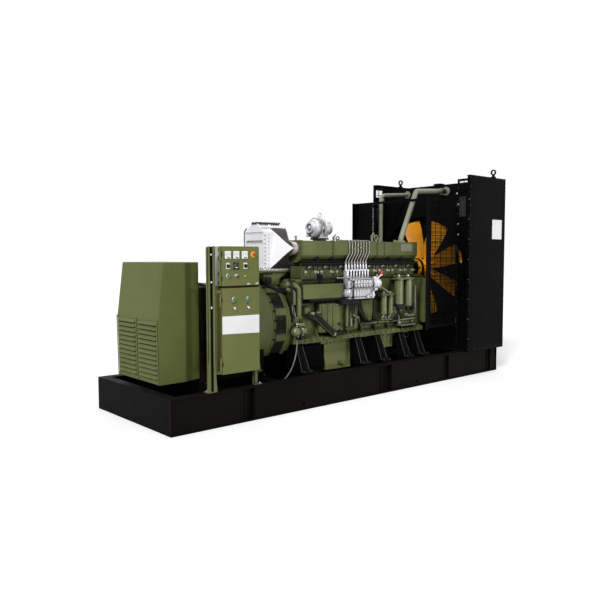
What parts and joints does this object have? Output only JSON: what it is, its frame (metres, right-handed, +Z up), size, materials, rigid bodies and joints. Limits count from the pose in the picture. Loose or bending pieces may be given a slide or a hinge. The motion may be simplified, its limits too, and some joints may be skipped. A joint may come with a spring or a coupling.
{
  "type": "open skid-mounted diesel generator set",
  "caption": "Olive V diesel engine, round alternator, control cabinets and tall black radiator with a guarded orange fan, all on one channel-section base frame.",
  "frame": {"origin": "middle of the base frame's footprint at floor level", "axes": "+X from the alternator towards the radiator, -Y the side with the control cabinets, +Z up"},
  "size_m": [5, 1.6338, 2.661],
  "materials": {
    "base_black": "satin black paint",
    "cover_green": "olive green satin paint",
    "engine_green": "olive green satin paint",
    "iron": "bare casting",
    "bright": "machined and cast",
    "line_steel": "plated",
    "cooler_white": "satin white paint",
    "hood_grey": "dark grey paint",
    "frame_black": "satin black paint",
    "fan_orange": "orange yellow paint",
    "belt_rubber": "matte",
    "cable_sheath": "smooth grey",
    "pipe_grey": "grey green satin paint",
    "cabinet_green": "olive green satin paint",
    "instrument_plastic": "assorted panel fittings"
  },
  "bodies": {
    "set": {"base_side_rails": "base_black", "base_end_rails": "base_black", "base_cross_beams": "base_black", "support_feet": "base_black", "alternator_cover": "cover_green", "alternator_stator": "base_black", "alternator_shell": "engine_green", "adapter_ring": "engine_green", "flywheel_housing": "engine_green", "crankcase": "engine_green", "oil_pan": "engine_green", "gear_case": "engine_green", "cylinder_heads": "engine_green", "intake_manifold_near": "engine_green", "intake_manifold_far": "engine_green", "exhaust_manifold": "iron", "turbocharger": "bright", "charge_air_cooler": "cooler_white", "cooler_bracket": "engine_green", "cooler_hoods": "hood_grey", "injection_pumps": "bright", "injection_lines": "line_steel", "pump_trays": "frame_black", "side_covers": "engine_green", "filter_canisters": "engine_green", "starter_motor": "engine_green", "starter_cable": "cable_sheath", "fan_drive": "frame_black", "fan_belts": "belt_rubber", "fan_guard_near": "frame_black", "fan_guard_far": "frame_black", "fan_guard_bar": "frame_black", "fan_guard_louvres": "frame_black", "fan_shroud": "frame_black", "radiator_base": "frame_black", "radiator_front_strips": "frame_black", "radiator_core": "frame_black", "radiator_top_tank": "frame_black", "radiator_bottom_tank": "frame_black", "radiator_side_near": "frame_black", "radiator_side_far": "frame_black", "radiator_rear_guard": "frame_black", "lifting_eyes": "frame_black", "coolant_pipe_near": "pipe_grey", "coolant_pipe_far": "pipe_grey", "coolant_return_pipe": "pipe_grey", "control_stand": "cabinet_green", "control_box": "cabinet_green", "power_box": "cabinet_green"},
    "fan": {"cooling_fan": "fan_orange"},
    "upper_door": {"control_door": "cabinet_green", "control_instruments": "instrument_plastic"},
    "lower_door": {"power_door": "cabinet_green", "power_switches": "instrument_plastic"}
  },
  "joints": [
    {"name": "fan_spin", "type": "hinge", "parent": "set", "child": "fan", "pos_m": [1.8, 0, 1.39], "axis": [1, 0, 0], "continuous": true},
    {"name": "control_door_hinge", "type": "hinge", "parent": "set", "child": "upper_door", "pos_m": [-1.955, -0.69, 1.45], "axis": [0, 0, 1], "range_deg": [-110, 0]},
    {"name": "power_door_hinge", "type": "hinge", "parent": "set", "child": "lower_door", "pos_m": [-1.955, -0.69, 0.86], "axis": [0, 0, 1], "range_deg": [-110, 0]}
  ]
}
